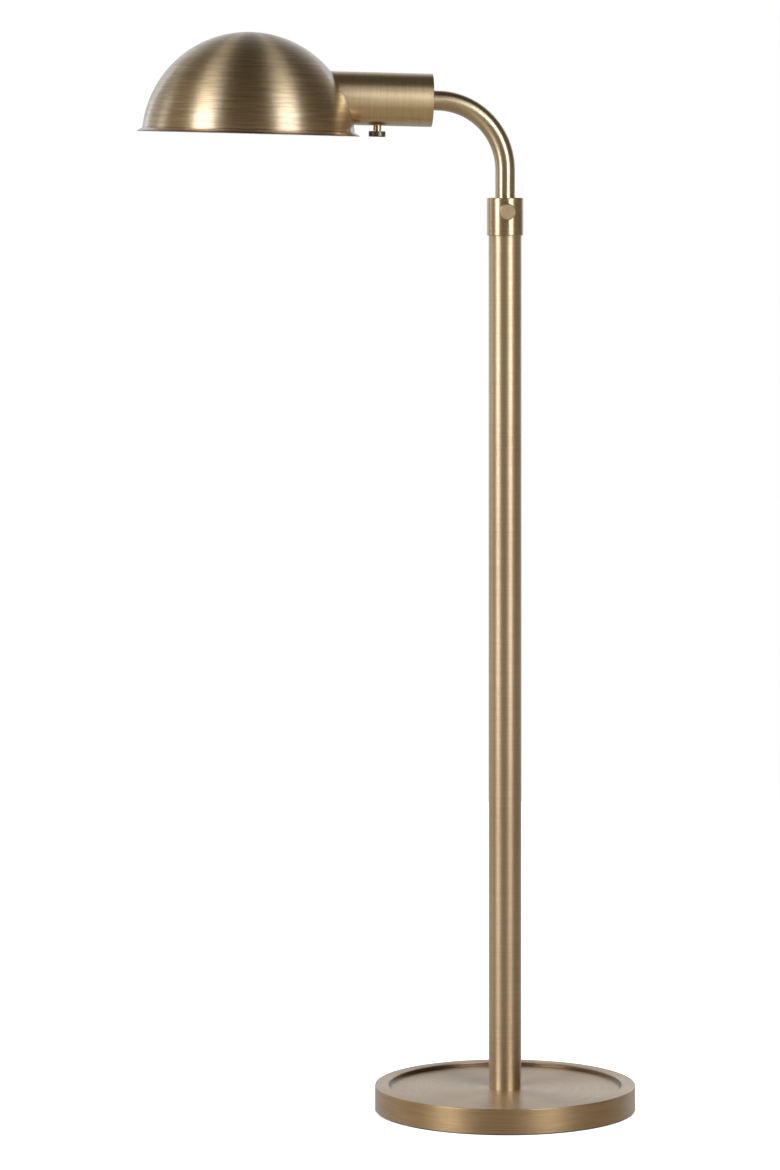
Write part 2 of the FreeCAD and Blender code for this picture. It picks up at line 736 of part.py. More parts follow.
def make_head_leads():
    """The three insulated wires between the swivel, the dimmer and the lampholder."""
    start = -value("nipple_end + 3 * thread_end")
    back = -value("bracket_station") + 1
    side = value("terminal_offset")
    wire = value("wire_radius")
    turn = 3 * wire
    station = -value("switch_station")
    rise = value("switch_top")
    body_side = station + value("switch_radius") + 0.5
    neutral = [
        Vector(start, 1.2 * wire, 0),
        Vector(start - 10, 1.2 * wire, 2 * wire),
        Vector(back + 12, side, 2 * wire),
        Vector(back, side, 0),
    ]
    live = [
        Vector(start, -1.2 * wire, 0),
        Vector(start - 10, -1.2 * wire, 0),
        Vector(body_side + 6, -1.2 * wire, rise - 4),
        Vector(body_side, -1.2 * wire, rise - 4),
    ]
    switched = [
        Vector(station, -side, rise + 0.2),
        Vector(station, -side, 0),
        Vector(back, -side, 0),
    ]
    leads = lamp.addObject("Part::Feature", "head_leads")
    leads.Label = "head_leads"
    runs = [routed(path, [turn] * (len(path) - 2), wire) for path in (neutral, live, switched)]
    leads.Shape = Part.makeCompound(runs)
    put_on_head(leads)
    pieces.append(leads)


def check_and_write():
    """Refuse any failed object, then write one file for each sub-part."""
    lamp.recompute()
    for item in lamp.Objects:
        if {"Invalid", "Error"} & set(item.State):
            raise RuntimeError(f"{item.Label} failed: {item.State}")
    os.makedirs("parts", exist_ok=True)
    for piece in pieces:
        if piece.Shape.isNull() or not piece.Shape.isValid():
            raise RuntimeError(f"{piece.Label} has no valid shape")
        piece.Shape.exportStep(f"parts/{piece.Label}.step")


fill_sheet()
make_base()
make_cord_entry()
make_stem()
make_clamp()
make_arm()
make_shade()
make_lampholder()
make_bulb()
make_dimmer()
make_head_leads()
check_and_write()
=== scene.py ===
"""Pharmacy floor lamp in aged brass: the finishes of its pieces, its studio and its camera."""

import json
import math

import bmesh
import bpy
from mathutils import Matrix, Vector


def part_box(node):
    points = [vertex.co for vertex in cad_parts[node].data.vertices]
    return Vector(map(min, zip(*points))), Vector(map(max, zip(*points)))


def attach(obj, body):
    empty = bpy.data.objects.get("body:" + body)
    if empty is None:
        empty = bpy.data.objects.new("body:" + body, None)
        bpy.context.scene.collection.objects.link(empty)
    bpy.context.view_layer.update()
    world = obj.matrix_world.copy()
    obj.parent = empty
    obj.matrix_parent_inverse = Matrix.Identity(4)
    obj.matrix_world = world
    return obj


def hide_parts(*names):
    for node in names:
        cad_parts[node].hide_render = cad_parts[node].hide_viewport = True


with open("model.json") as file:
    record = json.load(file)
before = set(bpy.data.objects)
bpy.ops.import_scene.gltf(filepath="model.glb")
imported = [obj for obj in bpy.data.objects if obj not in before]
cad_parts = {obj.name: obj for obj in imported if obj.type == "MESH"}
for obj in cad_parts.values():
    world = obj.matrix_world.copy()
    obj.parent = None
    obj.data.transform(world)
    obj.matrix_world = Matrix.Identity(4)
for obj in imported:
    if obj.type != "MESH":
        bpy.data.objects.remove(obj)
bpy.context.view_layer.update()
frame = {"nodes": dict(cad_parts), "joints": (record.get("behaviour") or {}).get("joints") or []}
nodes = frame["nodes"]
joints = {joint["name"]: joint for joint in frame["joints"]}

# ---------------------------------------------------------------- places on the lamp

STEM = Matrix.Identity(4)


def head_place():
    """The head's own axes: X back along the socket cap, Z up through the shade."""
    outward = Vector(joints["head_tilt"]["axis"])
    downward = Vector(joints["dimmer_turn"]["axis"])
    across = downward.cross(outward)
    turn = Matrix((-outward, across, -downward)).transposed().to_4x4()
    return Matrix.Translation(Vector(joints["head_tilt"]["pos_m"])) @ turn


def reach(node, place):
    """Lowest and highest corners of a node, along the axes of a place."""
    inverse = place.inverted()
    corners = [inverse @ vertex.co for vertex in nodes[node].data.vertices]
    return Vector(map(min, *corners)), Vector(map(max, *corners))


HEAD = head_place()
shade_low, shade_high = reach("shade", HEAD)
DOME_RADIUS = 0.1018
DOME_WALL = 0.001
FLARE_HEIGHT = 0.0034
SOCKET_OPENING = 0.021
SHADE = HEAD @ Matrix.Translation((
    (shade_low.x + shade_high.x) / 2, 0, shade_high.z - DOME_RADIUS))
CAP = HEAD @ Matrix.Rotation(math.radians(90), 4, "Y")
RIM = shade_low.z - (shade_high.z - DOME_RADIUS)
FLARE = RIM + FLARE_HEIGHT
dimmer_low, dimmer_high = reach("switch_knob", HEAD)
DIMMER = HEAD @ Matrix.Translation(((dimmer_low.x + dimmer_high.x) / 2, 0, dimmer_low.z))
BEND_RADIUS = 0.066
BEND_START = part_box("collar")[1].z + 0.027

# ---------------------------------------------------------------- finishes


def start_finish(name):
    """A new material: its node tree and its shader."""
    finish = bpy.data.materials.new(name)
    finish.use_nodes = True
    return finish, finish.node_tree, finish.node_tree.nodes["Principled BSDF"]


def add(tree, kind, inputs=None, **settings):
    """One node, with its settings and its inputs: values, or sockets to join."""
    made = tree.nodes.new("ShaderNode" + kind)
    for word, setting in settings.items():
        setattr(made, word, setting)
    for slot, value in (inputs or {}).items():
        if isinstance(value, bpy.types.NodeSocket):
            tree.links.new(value, made.inputs[slot])
        else:
            made.inputs[slot].default_value = value
    return made


def noise(tree, where, scale, detail=2.0, roughness=0.5):
    return add(tree, "TexNoise", {"Vector": where, "Scale": scale, "Detail": detail,
                                  "Roughness": roughness}).outputs["Fac"]


def ranged(tree, value, low, high, to_low, to_high, smooth=False):
    """A value carried from one range to another."""
    kind = "SMOOTHSTEP" if smooth else "LINEAR"
    return add(tree, "MapRange", {"Value": value, "From Min": low, "From Max": high,
                                  "To Min": to_low, "To Max": to_high},
               interpolation_type=kind).outputs["Result"]


def tinted(tree, factor, first, second, blend="MIX"):
    """A colour between two, by a factor."""
    mixed = add(tree, "Mix", data_type="RGBA", blend_type=blend)
    for slot, value in ((0, factor), (6, first), (7, second)):
        if isinstance(value, bpy.types.NodeSocket):
            tree.links.new(value, mixed.inputs[slot])
        else:
            mixed.inputs[slot].default_value = value if slot == 0 else (*value, 1.0)
    return mixed.outputs[2]


def raised(tree, height, distance, strength=1.0):
    return add(tree, "Bump", {"Height": height, "Distance": distance,
                              "Strength": strength}).outputs["Normal"]


def dress(shader, **values):
    """Set single values on the shader's own sockets."""
    for word, value in values.items():
        shader.inputs[word.replace("_", " ")].default_value = value


def brushed_brass(name, place, tone, shadow, roughness=0.36, stretch=0.75, strokes=1100.0,
                  stroke_depth=0.00001, lines=0.10, coat_roughness=0.18, blotch=9.0,
                  painted_recess_shade=None, painted_lip_lines=()):
    """Lacquered aged brass, brushed in rings about the Z axis of a place.

    A recess band (inner radius, outer radius, top) is painted shade, darkening the recess where
    its top meets its inner wall; each lip line (level, tone) colours everything below its level,
    as painted shade and painted highlight on the lip.
    """
    finish, tree, shader = start_finish(name)
    where = add(tree, "TexCoord").outputs["Object"]
    seat = add(tree, "Mapping", {"Vector": where, "Location": place.translation,
                                 "Rotation": place.to_euler()}, vector_type="TEXTURE").outputs[0]
    flat = add(tree, "VectorMath", {0: seat, 1: (1, 1, 0)}, operation="MULTIPLY").outputs[0]
    radius = add(tree, "VectorMath", {0: flat}, operation="LENGTH").outputs["Value"]
    parts = add(tree, "SeparateXYZ", {0: seat})
    run = add(tree, "Math", {0: parts.outputs["Z"], 1: radius}, operation="SUBTRACT").outputs[0]
    around = add(tree, "CombineXYZ", {0: parts.outputs["X"], 1: parts.outputs["Y"], 2: run})
    grain = add(tree, "VectorMath", {0: around.outputs[0], 1: (38, 38, strokes)},
                operation="MULTIPLY").outputs[0]
    fine = noise(tree, grain, 1.0, 4.0, 0.62)
    wide = add(tree, "VectorMath", {0: grain, 1: (0.6, 0.6, 0.33)}, operation="MULTIPLY").outputs[0]
    bands = noise(tree, wide, 1.0, 2.0, 0.5)
    clouds = noise(tree, where, blotch, 4.0, 0.55)
    specks = noise(tree, where, 190.0, 3.0, 0.6)

    aged = ranged(tree, clouds, 0.32, 0.70, 0.0, 1.0, smooth=True)
    colour = tinted(tree, aged, shadow, tone)
    line = ranged(tree, fine, 0.30, 0.72, 1.0 - lines, 1.0 + 0.5 * lines)
    band = ranged(tree, bands, 0.35, 0.65, 1.0 - 0.6 * lines, 1.0 + 0.4 * lines)
    speck = ranged(tree, specks, 0.62, 0.78, 1.0, 0.84, smooth=True)
    shade = add(tree, "Math", {0: line, 1: band}, operation="MULTIPLY").outputs[0]
    shade = add(tree, "Math", {0: shade, 1: speck}, operation="MULTIPLY").outputs[0]
    grey = add(tree, "CombineXYZ", {0: shade, 1: shade, 2: shade}).outputs[0]
    colour = tinted(tree, 1.0, colour, grey, "MULTIPLY")
    # Painted shade: a dark band darkens the recess where its top meets its inner wall.
    if painted_recess_shade:
        inner, outer, top = painted_recess_shade
        inside = ranged(tree, radius, inner, inner + 0.0012, 0.0, 1.0, smooth=True)
        outside = ranged(tree, radius, outer, outer - 0.0004, 0.0, 1.0, smooth=True)
        painted_below = ranged(tree, parts.outputs["Z"], top, top - 0.0008, 0.0, 1.0, smooth=True)
        recess_shade_band = add(tree, "Math", {0: inside, 1: outside}, operation="MULTIPLY").outputs[0]
        recess_shade_band = add(tree, "Math", {0: recess_shade_band, 1: painted_below}, operation="MULTIPLY").outputs[0]
        colour = tinted(tree, recess_shade_band, colour, (0.21, 0.135, 0.075))
    # Painted shade and a painted highlight: bands of colour on the dome's lip, each below its
    # level.
    for level, painted_line_tone in painted_lip_lines:
        painted_below = ranged(tree, parts.outputs["Z"], level + 0.0002, level - 0.0002, 0.0, 1.0)
        colour = tinted(tree, painted_below, colour, painted_line_tone)
    tree.links.new(colour, shader.inputs["Base Color"])

    worn = ranged(tree, fine, 0.30, 0.72, roughness + 0.06, roughness - 0.05)
    haze = ranged(tree, clouds, 0.35, 0.68, 0.03, -0.02)
    rough = add(tree, "Math", {0: worn, 1: haze}, operation="ADD").outputs[0]
    tree.links.new(rough, shader.inputs["Roughness"])
    tree.links.new(raised(tree, fine, stroke_depth), shader.inputs["Normal"])

    arm = add(tree, "VectorMath", {0: where, 1: place.translation}, operation="SUBTRACT").outputs[0]
    axis = place.to_3x3() @ Vector((0, 0, 1))
    circling = add(tree, "VectorMath", {0: axis, 1: arm}, operation="CROSS_PRODUCT").outputs[0]
    turned = add(tree, "VectorTransform", {"Vector": circling}, vector_type="VECTOR",
                 convert_from="OBJECT", convert_to="WORLD").outputs[0]
    tree.links.new(turned, shader.inputs["Tangent"])
    dress(shader, Metallic=1.0, Anisotropic=stretch, Anisotropic_Rotation=0.25,
          Coat_Weight=1.0, Coat_Roughness=coat_roughness, Coat_IOR=1.5)
    return finish


def arm_finish():
    """Lacquered aged brass, rubbed round a tube that rises and then bends towards -X."""
    finish, tree, shader = start_finish("rubbed_arm_brass")
    where = add(tree, "TexCoord").outputs["Object"]
    parts = add(tree, "SeparateXYZ", {0: where})
    out = add(tree, "Math", {0: parts.outputs["X"], 1: BEND_RADIUS}, operation="ADD").outputs[0]
    up = add(tree, "Math", {0: parts.outputs["Z"], 1: BEND_START}, operation="SUBTRACT").outputs[0]
    up = add(tree, "Math", {0: up, 1: 0.0}, operation="MAXIMUM").outputs[0]
    back = add(tree, "Math", {0: up, 1: -1.0}, operation="MULTIPLY").outputs[0]
    path = add(tree, "CombineXYZ", {0: back, 1: 0.0, 2: out}).outputs[0]
    swing = add(tree, "Math", {0: up, 1: out}, operation="ARCTAN2").outputs[0]
    bend = add(tree, "Math", {0: swing, 1: BEND_RADIUS}, operation="MULTIPLY").outputs[0]
    rise = add(tree, "Math", {0: parts.outputs["Z"], 1: BEND_START}, operation="MINIMUM").outputs[0]
    run = add(tree, "Math", {0: rise, 1: bend}, operation="ADD").outputs[0]
    laid = add(tree, "CombineXYZ", {0: out, 1: parts.outputs["Y"], 2: run}).outputs[0]
    grain = add(tree, "VectorMath", {0: laid, 1: (60, 60, 1400)}, operation="MULTIPLY").outputs[0]
    fine = noise(tree, grain, 1.0, 3.0, 0.6)
    clouds = noise(tree, where, 24.0, 4.0, 0.6)
    mottle = noise(tree, where, 380.0, 3.0, 0.6)
    aged = ranged(tree, clouds, 0.33, 0.68, 0.0, 1.0, smooth=True)
    colour = tinted(tree, aged, (0.60, 0.465, 0.265), (0.67, 0.53, 0.315))
    line = ranged(tree, fine, 0.30, 0.72, 0.93, 1.04)
    dim = ranged(tree, mottle, 0.35, 0.70, 1.03, 0.92)
    shade = add(tree, "Math", {0: line, 1: dim}, operation="MULTIPLY").outputs[0]
    grey = add(tree, "CombineXYZ", {0: shade, 1: shade, 2: shade}).outputs[0]
    tree.links.new(tinted(tree, 1.0, colour, grey, "MULTIPLY"), shader.inputs["Base Color"])
    rough = ranged(tree, mottle, 0.3, 0.7, 0.30, 0.39)
    tree.links.new(rough, shader.inputs["Roughness"])
    tree.links.new(raised(tree, fine, 0.000008), shader.inputs["Normal"])
    along = add(tree, "VectorTransform", {"Vector": path}, vector_type="VECTOR",
                convert_from="OBJECT", convert_to="WORLD").outputs[0]
    tree.links.new(along, shader.inputs["Tangent"])
    dress(shader, Metallic=1.0, Anisotropic=0.75, Coat_Weight=1.0, Coat_Roughness=0.3,
          Coat_IOR=1.5)
    return finish


def metal(name, tone, shadow, roughness, grain=600.0, depth=0.00001, blotch=60.0):
    """Bare or plated metal with a fine grain and a little uneven colour."""
    finish, tree, shader = start_finish(name)
    where = add(tree, "TexCoord").outputs["Object"]
    clouds = noise(tree, where, blotch, 4.0, 0.6)
    fine = noise(tree, where, grain, 3.0, 0.6)
    colour = tinted(tree, ranged(tree, clouds, 0.35, 0.65, 0.0, 1.0), shadow, tone)
    tree.links.new(colour, shader.inputs["Base Color"])
    rough = ranged(tree, fine, 0.3, 0.7, roughness - 0.06, roughness + 0.08)
    tree.links.new(rough, shader.inputs["Roughness"])
    tree.links.new(raised(tree, fine, depth), shader.inputs["Normal"])
    dress(shader, Metallic=1.0)
    return finish


def moulded(name, tone, shadow, roughness, grain, depth, blotch=40.0):
    """Plastic, enamel or cast surface: a tone, a darker tone and a skin."""
    finish, tree, shader = start_finish(name)
    where = add(tree, "TexCoord").outputs["Object"]
    clouds = noise(tree, where, blotch, 3.0, 0.55)
    skin = noise(tree, where, grain, 3.0, 0.55)
    colour = tinted(tree, ranged(tree, clouds, 0.35, 0.65, 0.0, 1.0), shadow, tone)
    tree.links.new(colour, shader.inputs["Base Color"])
    rough = ranged(tree, skin, 0.3, 0.7, roughness - 0.05, roughness + 0.06)
    tree.links.new(rough, shader.inputs["Roughness"])
    tree.links.new(raised(tree, skin, depth), shader.inputs["Normal"])
    return finish, shader


def felt_pad():
    """Pressed wool felt: short crossed fibres, matt, with a little lint."""
    finish, tree, shader = start_finish("pressed_felt")
    where = add(tree, "TexCoord").outputs["Object"]
    bent = add(tree, "TexNoise", {"Vector": where, "Scale": 90.0, "Detail": 3.0}).outputs["Color"]
    swirl = add(tree, "VectorMath", {0: bent, 1: (0.012, 0.012, 0.012)},
                operation="MULTIPLY").outputs[0]
    loose = add(tree, "VectorMath", {0: where, 1: swirl}, operation="ADD").outputs[0]
    along = add(tree, "VectorMath", {0: loose, 1: (260, 1700, 900)},
                operation="MULTIPLY").outputs[0]
    across = add(tree, "VectorMath", {0: loose, 1: (1600, 300, 900)},
                 operation="MULTIPLY").outputs[0]
    warp = noise(tree, along, 1.0, 3.0, 0.65)
    weft = noise(tree, across, 1.0, 3.0, 0.65)
    fibre = add(tree, "Math", {0: warp, 1: weft}, operation="MAXIMUM").outputs[0]
    lint = ranged(tree, noise(tree, loose, 320.0, 4.0, 0.7), 0.66, 0.76, 0.0, 0.35)
    colour = tinted(tree, ranged(tree, fibre, 0.42, 0.72, 0.0, 1.0), (0.012, 0.012, 0.011),
                    (0.055, 0.053, 0.050))
    colour = tinted(tree, lint, colour, (0.16, 0.155, 0.145))
    tree.links.new(colour, shader.inputs["Base Color"])
    tree.links.new(raised(tree, fibre, 0.0004, 0.8), shader.inputs["Normal"])
    dress(shader, Roughness=0.95, Sheen_Weight=0.35, Sheen_Roughness=0.5)
    return finish


def frosted_bulb():
    """Inside-frosted glass: milky, softly see-through, with a clean outer skin."""
    finish, tree, shader = start_finish("frosted_bulb_glass")
    where = add(tree, "TexCoord").outputs["Object"]
    frost = noise(tree, where, 900.0, 3.0, 0.6)
    drift = noise(tree, where, 30.0, 2.0, 0.5)
    colour = tinted(tree, ranged(tree, drift, 0.35, 0.65, 0.0, 1.0), (0.76, 0.76, 0.74),
                    (0.83, 0.83, 0.81))
    tree.links.new(colour, shader.inputs["Base Color"])
    tree.links.new(ranged(tree, frost, 0.3, 0.7, 0.42, 0.56), shader.inputs["Roughness"])
    dress(shader, Transmission_Weight=0.45, IOR=1.46, Coat_Weight=0.6, Coat_Roughness=0.04)
    return finish


WARM = (0.66, 0.495, 0.285)
WARM_SHADOW = (0.585, 0.43, 0.235)
COPPERY = (0.72, 0.51, 0.27)
COPPERY_SHADOW = (0.64, 0.43, 0.215)

# The dome's lip carries painted lines: painted shade above the flare's fold, a painted highlight
# along the flare and painted shade on the lip's edge.
shade_brass = brushed_brass("spun_shade_brass", SHADE, WARM, WARM_SHADOW, roughness=0.41,
                            stretch=0.88, strokes=900.0, stroke_depth=0.00009, lines=0.25,
                            painted_lip_lines=((FLARE + 0.0010, (0.26, 0.165, 0.095)),
                                  (FLARE + 0.0002, (0.84, 0.60, 0.40)),
                                  (RIM + 0.0017, (0.36, 0.215, 0.13))))
cap_brass = brushed_brass("turned_cap_brass", CAP, (0.83, 0.64, 0.375), (0.74, 0.56, 0.31),
                          roughness=0.37, strokes=1300.0, stroke_depth=0.00004)
stem_brass = brushed_brass("drawn_stem_brass", STEM, (0.76, 0.58, 0.35), (0.68, 0.505, 0.29),
                           roughness=0.46, strokes=1500.0, blotch=5.0, lines=0.05)
collar_brass = brushed_brass("turned_collar_brass", STEM, WARM, WARM_SHADOW, roughness=0.33,
                             strokes=1500.0, blotch=30.0)
# The base's recess carries a band of painted shade.
base_brass = brushed_brass("spun_base_brass", STEM, COPPERY, COPPERY_SHADOW, roughness=0.46,
                           strokes=900.0, stroke_depth=0.00004, blotch=11.0,
                           coat_roughness=0.34, painted_recess_shade=(0.1112, 0.1140, 0.0246))
knob_brass = metal("matt_knob_brass", (0.66, 0.52, 0.31), (0.55, 0.42, 0.24), 0.44, 1500.0, 0.00003)
arm_brass = arm_finish()
nut_brass = metal("polished_nut_brass", (0.80, 0.60, 0.30), (0.70, 0.50, 0.23), 0.16)
bare_brass = metal("machined_brass", (0.76, 0.58, 0.31), (0.66, 0.48, 0.24), 0.28, 900.0)
bronze = metal("darkened_bronze", (0.30, 0.235, 0.165), (0.17, 0.125, 0.085), 0.33, 700.0, 0.00002)
zinc = metal("zinc_plated_steel", (0.62, 0.62, 0.60), (0.50, 0.49, 0.46), 0.34, 800.0)
bulb_metal = metal("bulb_cap_nickel", (0.72, 0.71, 0.69), (0.60, 0.59, 0.57), 0.25, 800.0)
iron, iron_shader = moulded("cast_iron_weight", (0.11, 0.105, 0.10), (0.055, 0.050, 0.046), 0.62,
                            260.0, 0.0004)
dress(iron_shader, Metallic=0.7)
nylon, nylon_shader = moulded("natural_nylon", (0.72, 0.70, 0.64), (0.64, 0.61, 0.55), 0.42,
                              900.0, 0.00001)
dress(nylon_shader, Subsurface_Weight=0.12, Subsurface_Scale=0.002)
black = moulded("black_phenolic", (0.030, 0.028, 0.026), (0.016, 0.015, 0.014), 0.36, 1100.0,
                0.00003)[0]
sheath = moulded("lead_sheath_vinyl", (0.050, 0.036, 0.024), (0.034, 0.024, 0.016), 0.44,
                 1400.0, 0.00003)[0]
enamel, enamel_shader = moulded("white_enamel", (0.63, 0.62, 0.595), (0.59, 0.58, 0.55), 0.34,
                                520.0, 0.00001, 14.0)
dress(enamel_shader, Coat_Weight=0.25, Coat_Roughness=0.2)

NODE_FINISHES = {
    "base_shell": base_brass,
    "base_weight": iron,
    "base_felt": felt_pad(),
    "base_nipple": bare_brass,
    "base_washer": zinc,
    "base_locknut": zinc,
    "cord_bushing": black,
    "stem_lead": sheath,
    "stem_tube": stem_brass,
    "stem_foot_plug": bare_brass,
    "collar": collar_brass,
    "collar_liner": nylon,
    "clamp_screw": bare_brass,
    "clamp_knob": knob_brass,
    "guide_bush": nylon,
    "arm_tube": arm_brass,
    "arm_stop_rings": zinc,
    "arm_tip_insert": bare_brass,
    "swivel_nipple": bare_brass,
    "swivel_washer": nylon,
    "swivel_spring_washer": zinc,
    "swivel_locknut": zinc,
    "arm_lead": sheath,
    "socket_cap": cap_brass,
    "socket_bracket": zinc,
    "socket_screws": zinc,
    "socket_body": black,
    "socket_screw_shell": bare_brass,
    "socket_contact": bare_brass,
    "terminal_screws": bare_brass,
    "switch_body": black,
    "switch_bushing": bare_brass,
    "switch_nut": nut_brass,
    "switch_shaft": bare_brass,
    "head_leads": sheath,
    "bulb_glass": frosted_bulb(),
    "bulb_screw_cap": bulb_metal,
}


def dress_nodes():
    """Give every kept solid its finish."""
    for node, finish in NODE_FINISHES.items():
        for slot in nodes[node].material_slots:
            slot.material = finish


# ---------------------------------------------------------------- new pieces


def settle(shape, name, place, body, finishes, angle=35.0):
    """Put a finished shape at its place as a smooth-shaded piece on a body."""
    bmesh.ops.transform(shape, matrix=place, verts=shape.verts)
    mesh = bpy.data.meshes.new(name)
    shape.to_mesh(mesh)
    shape.free()
    piece = bpy.data.objects.new(name, mesh)
    bpy.context.scene.collection.objects.link(piece)
    for finish in finishes:
        mesh.materials.append(finish)
    mesh.shade_smooth()
    mesh.set_sharp_from_angle(angle=math.radians(angle))
    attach(piece, body)
    return piece


def spin_round(shape, steps):
    """Spin everything drawn so far about Z, all the way round, and close its seam."""
    bmesh.ops.spin(shape, geom=shape.verts[:] + shape.edges[:], cent=(0, 0, 0), axis=(0, 0, 1),
                   dvec=(0, 0, 0), angle=math.tau, steps=steps, use_merge=True,
                   use_duplicate=False)
    bmesh.ops.remove_doubles(shape, verts=shape.verts, dist=1e-6)
    bmesh.ops.recalc_face_normals(shape, faces=shape.faces)


def bake(piece):
    """Replace a piece's mesh by what its modifiers make of it."""
    graph = bpy.context.evaluated_depsgraph_get()
    made = bpy.data.meshes.new_from_object(piece.evaluated_get(graph), depsgraph=graph,
                                           preserve_all_data_layers=True)
    piece.modifiers.clear()
    piece.data = made
    made.name = piece.name


def carve(piece, tool):
    """Cut a closed tool shape out of a piece."""
    mesh = bpy.data.meshes.new("tool")
    tool.to_mesh(mesh)
    tool.free()
    cutter = bpy.data.objects.new("tool", mesh)
    bpy.context.scene.collection.objects.link(cutter)
    cut = piece.modifiers.new("opening", "BOOLEAN")
    cut.operation = "DIFFERENCE"
    cut.solver = "EXACT"
    cut.object = cutter
    bake(piece)
    bpy.data.objects.remove(cutter)


def draw_line(shape, start, moves):
    """Draw a chain of edges from a vertex through points of (radius, level)."""
    last = start
    for radius, level in moves:
        step = shape.verts.new((radius, 0, level))
        shape.edges.new((last, step))
        last = step
    return last


def spin_arc(shape, start, centre, angle, steps):
    """Carry the chain on from a vertex round a centre of (radius, level)."""
    made = bmesh.ops.spin(shape, geom=[start], cent=(centre[0], 0, centre[1]), axis=(0, 1, 0),
                          dvec=(0, 0, 0), angle=angle, steps=steps, use_duplicate=False)
    return next(part for part in made["geom_last"] if isinstance(part, bmesh.types.BMVert))


def make_shade():
    """The spun dome: a brass shell with a flared lip, white enamel inside."""
    crown = shade_high.z - DOME_RADIUS
    lip = (shade_high.x - shade_low.x) / 2
    bore = DOME_RADIUS - DOME_WALL
    shape = bmesh.new()
    outer_pole = shape.verts.new((0, 0, DOME_RADIUS))
    inner_pole = shape.verts.new((0, 0, bore))
    edge = spin_arc(shape, outer_pole, (0, 0), math.acos(FLARE / DOME_RADIUS), 72)
    inner_edge = spin_arc(shape, inner_pole, (0, 0), math.acos((FLARE - 0.0006) / bore), 72)
    bottom = draw_line(shape, edge, [
        (edge.co.x + 0.0013, FLARE - 0.0005),
        (lip - 0.0016, RIM + 0.0016),
        (lip - 0.0005, RIM + 0.0010),
        (lip, RIM + 0.0005),
        (lip - 0.0002, RIM + 0.00012),
        (lip - 0.0007, RIM),
        (lip - 0.0012, RIM),
    ])
    shape.edges.new((bottom, inner_edge))
    spin_round(shape, 256)
    for face in shape.faces:
        face.material_index = int(face.calc_center_median().dot(face.normal) < 0)
    piece = settle(shape, "dome_shade", Matrix.Identity(4), "head",
                   [shade_brass, enamel])
    opening = bmesh.new()
    bmesh.ops.create_cone(opening, cap_ends=True, segments=128, radius1=SOCKET_OPENING,
                          radius2=SOCKET_OPENING, depth=0.07,
                          matrix=Matrix.Translation((0.09, 0, -crown))
                          @ Matrix.Rotation(math.radians(90), 4, "Y"))
    carve(piece, opening)
    piece.data.transform(SHADE)
    piece.data.set_sharp_from_angle(angle=math.radians(30))
    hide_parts("shade")


def make_dimmer_knob():
    """The straight-knurled knob of the rotary dimmer, with a dished end."""
    length = dimmer_high.z - dimmer_low.z
    radius = (dimmer_high.x - dimmer_low.x) / 2
    shape = bmesh.new()
    bmesh.ops.create_cone(shape, cap_ends=True, segments=54, radius1=radius - 0.00025,
                          radius2=radius - 0.00025, depth=length,
                          matrix=Matrix.Translation((0, 0, length / 2)))
    ends = [face for face in shape.faces if abs(face.normal.z) > 0.5]
    rims = [edge for face in ends for edge in face.edges]
    bmesh.ops.bevel(shape, geom=rims, offset=0.0005, offset_type="OFFSET", affect="EDGES",
                    segments=3, profile=0.5, material=-1)
    flat = 0.5 * length * math.tau * radius / 54
    side = [face for face in shape.faces if face.calc_area() > flat and abs(face.normal.z) < 0.1]
    bmesh.ops.inset_individual(shape, faces=side, thickness=0.00016, depth=0.00024)
    end = [face for face in shape.faces if face.normal.z < -0.9 and face.calc_area() > 5e-5]
    bmesh.ops.inset_region(shape, faces=end, thickness=0.0016)
    end = [face for face in shape.faces if face.normal.z < -0.9 and face.calc_area() > 5e-5]
    bmesh.ops.inset_region(shape, faces=end, thickness=0.0004, depth=-0.0003)
    piece = settle(shape, "dimmer_knob", DIMMER, "dimmer", [bronze], 30.0)
    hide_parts("switch_knob")


make_shade()
make_dimmer_knob()
dress_nodes()

# ---------------------------------------------------------------- studio


def studio_air():
    """The room as the metal sees it: a pale backdrop behind, a dark room in front."""
    world = bpy.data.worlds.new("studio")
    bpy.context.scene.world = world
    world.use_nodes = True
    tree = world.node_tree
    tree.nodes.clear()
    way = add(tree, "SeparateXYZ", {0: add(tree, "TexCoord").outputs["Generated"]})
    backdrop = ranged(tree, way.outputs["Y"], 0.36, 0.92, 0.115, 0.68, smooth=True)
    overhead = ranged(tree, way.outputs["Z"], 0.30, 0.95, 1.0, 0.62, smooth=True)
    room = add(tree, "Math", {0: backdrop, 1: overhead}, operation="MULTIPLY").outputs[0]
    left = ranged(tree, way.outputs["X"], -0.60, -0.90, 0.0, 0.24, smooth=True)
    room = add(tree, "Math", {0: room, 1: left}, operation="ADD").outputs[0]
    below = ranged(tree, way.outputs["Z"], 0.02, -0.14, 0.0, 1.0, smooth=True)
    ground = add(tree, "Mix", {0: below, 2: room, 3: 0.36}, data_type="FLOAT").outputs[0]
    seen = add(tree, "Background", {"Color": (1, 1, 1, 1), "Strength": 1.0})
    front = ranged(tree, way.outputs["Y"], 0.10, 0.80, 0.0, 1.0, smooth=True)
    tint = tinted(tree, front, (1.0, 0.87, 0.71), (0.97, 1.0, 1.05))
    cast = add(tree, "Background", {"Color": tint, "Strength": ground})
    path = add(tree, "LightPath")
    both = add(tree, "MixShader", {0: path.outputs["Is Camera Ray"], 1: cast.outputs[0],
                                   2: seen.outputs[0]})
    out = add(tree, "OutputWorld")
    tree.links.new(both.outputs[0], out.inputs["Surface"])


AIM_HEIGHT = 0.75


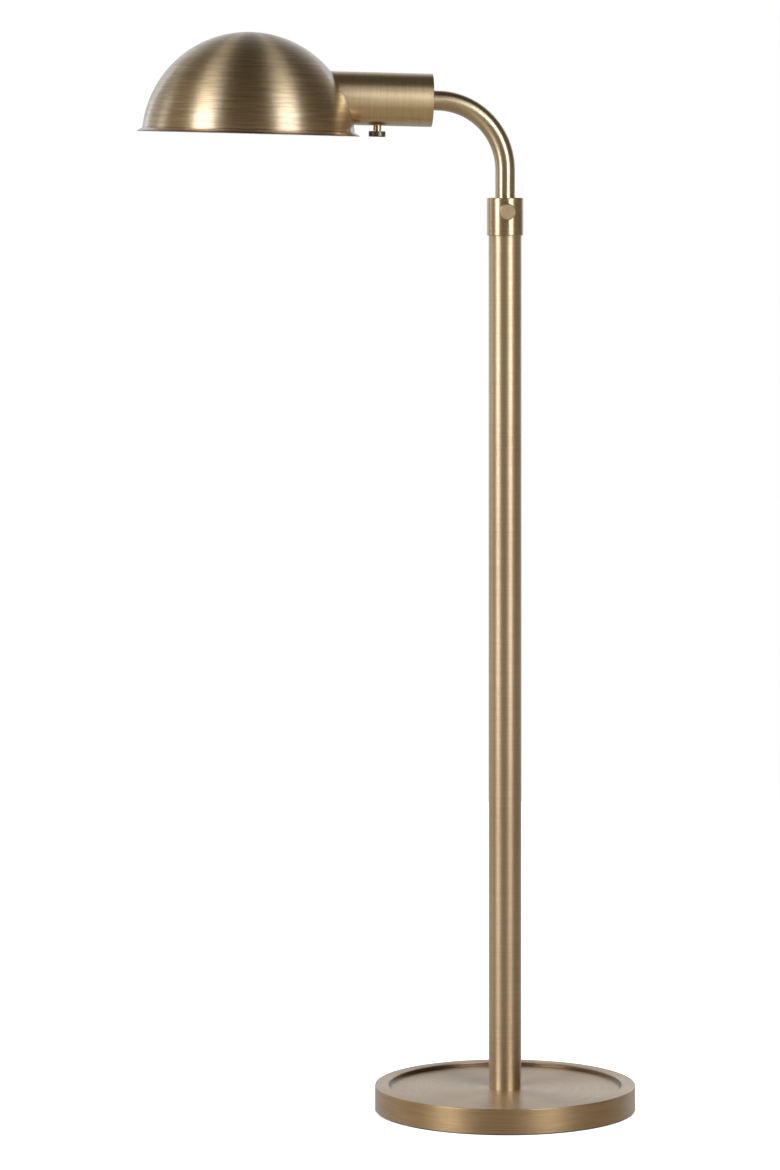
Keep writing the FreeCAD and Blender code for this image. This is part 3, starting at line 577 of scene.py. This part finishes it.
def softbox(name, azimuth, distance, level, width, height, glow, seen=True):
    """An upright soft light; azimuth 0 stands in front, and it grows towards +X."""
    lamp = bpy.data.lights.new(name, "AREA")
    lamp.shape = "RECTANGLE"
    lamp.size = width
    lamp.size_y = height
    lamp.energy = glow * width * height * math.pi
    lamp.color = (0.93, 1.0, 1.14)
    turn = math.radians(azimuth)
    place = Vector((math.sin(turn) * distance, -math.cos(turn) * distance, level))
    light = bpy.data.objects.new(name, lamp)
    bpy.context.scene.collection.objects.link(light)
    light.location = place
    light.rotation_euler = (place - Vector((0, 0, AIM_HEIGHT))).to_track_quat("Z", "Y").to_euler()
    light.visible_glossy = seen


def studio_lights():
    softbox("left_softbox", -56, 2.3, 1.40, 0.95, 2.6, 1.7)
    softbox("left_core", -56, 2.28, 1.40, 0.86, 1.2, 4.0)
    softbox("right_softbox", 34.0, 1.38, 1.20, 0.64, 2.3, 1.6)
    softbox("right_core", 34.0, 1.36, 1.27, 0.58, 0.75, 4.0)
    softbox("left_panel", -110, 3.0, 1.2, 0.6, 2.2, 0.9)
    softbox("back_left_strip", 215, 3.0, 1.3, 0.5, 2.0, 0.6)
    softbox("back_right_strip", 150, 3.0, 1.3, 0.5, 2.0, 0.6)
    softbox("floor_wash", 0, 0.01, 3.2, 6.0, 6.0, 3.2, seen=False)


def pale_floor():
    """A round sheet of pale seamless paper under the lamp."""
    shape = bmesh.new()
    bmesh.ops.create_circle(shape, cap_ends=True, segments=128, radius=2.2)
    mesh = bpy.data.meshes.new("floor")
    shape.to_mesh(mesh)
    shape.free()
    floor = bpy.data.objects.new("floor", mesh)
    bpy.context.scene.collection.objects.link(floor)
    paper, tree, shader = start_finish("seamless_paper")
    where = add(tree, "TexCoord").outputs["Object"]
    tooth = noise(tree, where, 700.0, 3.0, 0.6)
    colour = tinted(tree, tooth, (0.90, 0.90, 0.895), (0.94, 0.94, 0.935))
    tree.links.new(colour, shader.inputs["Base Color"])
    dress(shader, Roughness=0.9, Specular_IOR_Level=0.2)
    beneath = add(tree, "NewGeometry").outputs["Backfacing"]
    clear = add(tree, "BsdfTransparent")
    side = add(tree, "MixShader", {0: beneath, 1: shader.outputs[0], 2: clear.outputs[0]})
    tree.links.new(side.outputs[0], tree.nodes["Material Output"].inputs["Surface"])
    mesh.materials.append(paper)
    floor.visible_glossy = False


def set_camera():
    lens = bpy.data.cameras.new("camera")
    lens.sensor_width = 36.0
    lens.lens = 148.6
    lens.clip_start = 0.1
    lens.clip_end = 60.0
    camera = bpy.data.objects.new("camera", lens)
    bpy.context.scene.collection.objects.link(camera)
    camera.location = (-0.4356, -4.6309, 0.9423)
    aim = (Matrix.Rotation(math.radians(-4.003), 3, "Z")
           @ Matrix.Rotation(math.radians(90 - 5.262), 3, "X")
           @ Matrix.Rotation(math.radians(-0.12), 3, "Z"))
    camera.rotation_euler = aim.to_euler()
    bpy.context.scene.camera = camera


studio_air()
studio_lights()
pale_floor()
set_camera()
bpy.context.scene.view_settings.view_transform = "Standard"
